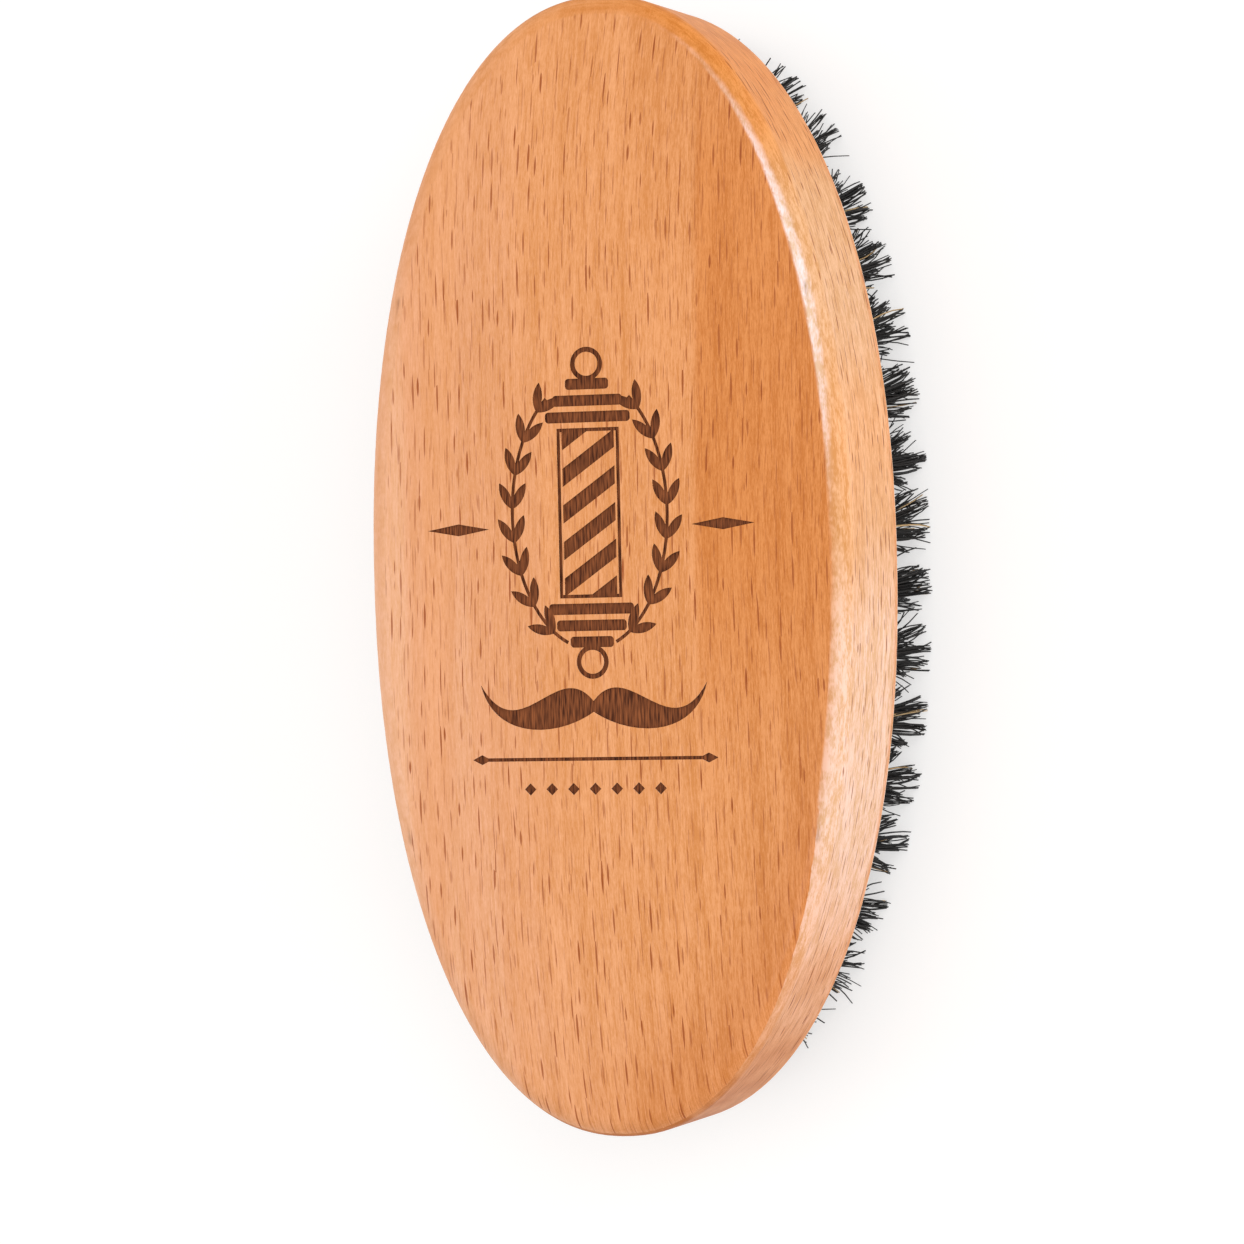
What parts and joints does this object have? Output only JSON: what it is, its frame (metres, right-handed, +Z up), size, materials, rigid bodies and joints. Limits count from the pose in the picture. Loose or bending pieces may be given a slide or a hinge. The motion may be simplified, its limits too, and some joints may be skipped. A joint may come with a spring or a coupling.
{
  "type": "beard brush",
  "caption": "Oval palm-held beard brush: a flat engraved beech block with rounded edges over a bed of short dark bristle tufts set in concentric ovals.",
  "frame": {"origin": "on the plane of the trimmed bristle ends, under the middle of the oval block", "axes": "+Y along the brush's length, +X across its width, +Z up, square to the engraved palm face and out of it"},
  "size_m": [0.0508, 0.1142, 0.032],
  "materials": {
    "lacquered_beech": "satin",
    "dark_bristle": "satin",
    "pale_bristle": "satin",
    "anchor_wire": "satin"
  },
  "bodies": {
    "root": {"handle_block": "lacquered_beech", "rim_tufts_top_right": "dark_bristle", "rim_tufts_top_left": "dark_bristle", "rim_tufts_bottom_left": "dark_bristle", "rim_tufts_bottom_right": "dark_bristle", "outer_tufts_top_right": "dark_bristle", "outer_tufts_top_left": "dark_bristle", "outer_tufts_bottom_left": "dark_bristle", "outer_tufts_bottom_right": "dark_bristle", "middle_tufts_top_right": "dark_bristle", "middle_tufts_top_left": "dark_bristle", "middle_tufts_bottom_left": "dark_bristle", "middle_tufts_bottom_right": "dark_bristle", "inner_tufts_top_right": "dark_bristle", "inner_tufts_top_left": "dark_bristle", "inner_tufts_bottom_left": "dark_bristle", "inner_tufts_bottom_right": "dark_bristle", "core_tufts_top_right": "dark_bristle", "core_tufts_top_left": "dark_bristle", "core_tufts_bottom_left": "dark_bristle", "core_tufts_bottom_right": "dark_bristle", "rim_anchors_top_right": "anchor_wire", "rim_anchors_top_left": "anchor_wire", "rim_anchors_bottom_left": "anchor_wire", "rim_anchors_bottom_right": "anchor_wire", "outer_anchors_top_right": "anchor_wire", "outer_anchors_top_left": "anchor_wire", "outer_anchors_bottom_left": "anchor_wire", "outer_anchors_bottom_right": "anchor_wire", "middle_anchors_top_right": "anchor_wire", "middle_anchors_top_left": "anchor_wire", "middle_anchors_bottom_left": "anchor_wire", "middle_anchors_bottom_right": "anchor_wire", "inner_anchors_top_right": "anchor_wire", "inner_anchors_top_left": "anchor_wire", "inner_anchors_bottom_left": "anchor_wire", "inner_anchors_bottom_right": "anchor_wire", "core_anchors_top_right": "anchor_wire", "core_anchors_top_left": "anchor_wire", "core_anchors_bottom_left": "anchor_wire", "core_anchors_bottom_right": "anchor_wire"}
  },
  "joints": []
}
